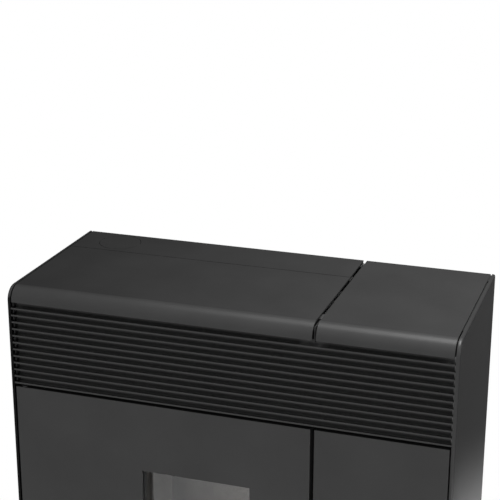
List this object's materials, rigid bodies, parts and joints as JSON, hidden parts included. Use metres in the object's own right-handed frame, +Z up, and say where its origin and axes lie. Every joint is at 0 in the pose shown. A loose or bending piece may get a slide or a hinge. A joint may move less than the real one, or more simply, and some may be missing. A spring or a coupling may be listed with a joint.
{
  "type": "pellet stove",
  "caption": "Slim upright pellet stove with a hinged fire door, a louvred front, a lidded pellet hopper on one side and an ash drawer below.",
  "frame": {"origin": "on the floor, under the middle of the stove's outside box", "axes": "+X along the front towards the hopper side, +Y from the front towards the wall, +Z up"},
  "size_m": [0.9, 0.388, 1.11],
  "materials": {
    "side_panel_left": "satin",
    "side_panel_right": "satin",
    "top_cover": "satin",
    "top_rear_strip": "satin",
    "louvre_grille": "satin",
    "right_front_panel": "satin",
    "base_plate": "satin",
    "levelling_feet": "matte",
    "rear_panel": "galvanised",
    "chassis_frame": "galvanised",
    "module_partition": "galvanised",
    "hopper_lid": "satin",
    "lid_gasket": "matte",
    "lid_hinge_brackets": "plain",
    "lid_hinge_pins": "plain",
    "door_skin": "satin",
    "door_frame": "matte black",
    "door_glass": "clear",
    "glass_tape": "woven",
    "door_rope_gasket": "braided",
    "glass_clips": "plain",
    "door_hinge_plates": "plain",
    "latch_keeper": "plain",
    "latch_knob": "satin",
    "latch_tongue": "plain",
    "firebox_shell": "heat-resisting matte",
    "firebrick_left": "vermiculite",
    "firebrick_right": "vermiculite",
    "firebrick_back": "vermiculite",
    "baffle_plate": "vermiculite",
    "exchanger_tubes": "heat-stained",
    "pot_cradle": "heat-resisting matte",
    "burn_pot": "matte",
    "igniter": "plain",
    "pellet_chute": "plain",
    "smoke_duct": "aluminised",
    "exhaust_fan_housing": "cast",
    "exhaust_impeller": "plain",
    "exhaust_fan_motor": "satin",
    "flue_outlet": "plain",
    "air_intake_pipe": "plain",
    "room_fan_housing": "galvanised",
    "room_fan_rotor": "plain",
    "room_fan_motor": "satin",
    "ash_compartment": "heat-resisting matte",
    "ash_drawer_box": "plain",
    "ash_drawer_front": "satin",
    "pellet_hopper": "galvanised",
    "auger_tube": "plain",
    "auger_screw": "plain",
    "auger_gearmotor": "cast",
    "control_board": "laminate",
    "control_panel": "gloss",
    "button_power": "matte",
    "button_down": "matte",
    "button_up": "matte",
    "mains_inlet": "matte",
    "power_rocker": "gloss",
    "safety_thermostat": "matte",
    "reset_button": "matte"
  },
  "bodies": {
    "casing": {"side_panel_left": "side_panel_left", "side_panel_right": "side_panel_right", "top_cover": "top_cover", "top_rear_strip": "top_rear_strip", "louvre_grille": "louvre_grille", "right_front_panel": "right_front_panel", "base_plate": "base_plate", "levelling_feet": "levelling_feet", "rear_panel": "rear_panel", "chassis_frame": "chassis_frame", "module_partition": "module_partition", "lid_hinge_brackets": "lid_hinge_brackets", "lid_hinge_pins": "lid_hinge_pins", "door_hinge_plates": "door_hinge_plates", "latch_keeper": "latch_keeper", "firebox_shell": "firebox_shell", "firebrick_left": "firebrick_left", "firebrick_right": "firebrick_right", "firebrick_back": "firebrick_back", "baffle_plate": "baffle_plate", "exchanger_tubes": "exchanger_tubes", "pot_cradle": "pot_cradle", "burn_pot": "burn_pot", "igniter": "igniter", "pellet_chute": "pellet_chute", "smoke_duct": "smoke_duct", "exhaust_fan_housing": "exhaust_fan_housing", "exhaust_fan_motor": "exhaust_fan_motor", "flue_outlet": "flue_outlet", "air_intake_pipe": "air_intake_pipe", "room_fan_housing": "room_fan_housing", "room_fan_motor": "room_fan_motor", "ash_compartment": "ash_compartment", "pellet_hopper": "pellet_hopper", "auger_tube": "auger_tube", "auger_gearmotor": "auger_gearmotor", "control_board": "control_board", "control_panel": "control_panel", "mains_inlet": "mains_inlet", "safety_thermostat": "safety_thermostat"},
    "fire_door": {"door_skin": "door_skin", "door_frame": "door_frame", "door_glass": "door_glass", "glass_tape": "glass_tape", "door_rope_gasket": "door_rope_gasket", "glass_clips": "glass_clips"},
    "door_latch": {"latch_knob": "latch_knob", "latch_tongue": "latch_tongue"},
    "lid": {"hopper_lid": "hopper_lid", "lid_gasket": "lid_gasket"},
    "ash_drawer": {"ash_drawer_box": "ash_drawer_box", "ash_drawer_front": "ash_drawer_front"},
    "feed_screw": {"auger_screw": "auger_screw"},
    "exhaust_rotor": {"exhaust_impeller": "exhaust_impeller"},
    "room_rotor": {"room_fan_rotor": "room_fan_rotor"},
    "power_key": {"button_power": "button_power"},
    "down_key": {"button_down": "button_down"},
    "up_key": {"button_up": "button_up"},
    "rocker": {"power_rocker": "power_rocker"},
    "reset_key": {"reset_button": "reset_button"}
  },
  "joints": [
    {"name": "lid_hinge", "type": "hinge", "parent": "casing", "child": "lid", "pos_m": [0.3116, 0.18, 1.1], "axis": [-1, 0, 0], "range_deg": [0, 78]},
    {"name": "door_hinge", "type": "hinge", "parent": "casing", "child": "fire_door", "pos_m": [-0.4222, -0.1875, 0.58], "axis": [0, 0, -1], "range_deg": [0, 105]},
    {"name": "latch_turn", "type": "hinge", "parent": "fire_door", "child": "door_latch", "pos_m": [0.145, -0.17, 0.56], "axis": [0, -1, 0], "range_deg": [0, 90]},
    {"name": "drawer_slide", "type": "slide", "parent": "casing", "child": "ash_drawer", "axis": [0, -1, 0], "range_m": [0, 0.19]},
    {"name": "feed_screw_turn", "type": "hinge", "parent": "casing", "child": "feed_screw", "pos_m": [0.362, -0.07, 0.43], "axis": [-0.7071, 0, 0.7071], "continuous": true},
    {"name": "exhaust_fan_turn", "type": "hinge", "parent": "casing", "child": "exhaust_rotor", "pos_m": [-0.351, 0.024, 0.19], "axis": [1, 0, 0], "continuous": true},
    {"name": "room_fan_turn", "type": "hinge", "parent": "casing", "child": "room_rotor", "pos_m": [-0.0695, 0.143, 0.15], "axis": [1, 0, 0], "continuous": true},
    {"name": "power_key_press", "type": "slide", "parent": "casing", "child": "power_key", "axis": [0, 0, -1], "range_m": [0, 0.0015], "stiffness_N_per_m": 500, "springref_m": -0.0004},
    {"name": "down_key_press", "type": "slide", "parent": "casing", "child": "down_key", "axis": [0, 0, -1], "range_m": [0, 0.0015], "stiffness_N_per_m": 500, "springref_m": -0.0004},
    {"name": "up_key_press", "type": "slide", "parent": "casing", "child": "up_key", "axis": [0, 0, -1], "range_m": [0, 0.0015], "stiffness_N_per_m": 500, "springref_m": -0.0004},
    {"name": "rocker_tilt", "type": "hinge", "parent": "casing", "child": "rocker", "pos_m": [0.372, 0.188, 0.126], "axis": [-1, 0, 0], "range_deg": [0, 18]},
    {"name": "reset_key_press", "type": "slide", "parent": "casing", "child": "reset_key", "axis": [0, -1, 0], "range_m": [0, 0.002], "stiffness_N_per_m": 500, "springref_m": -0.0004}
  ]
}
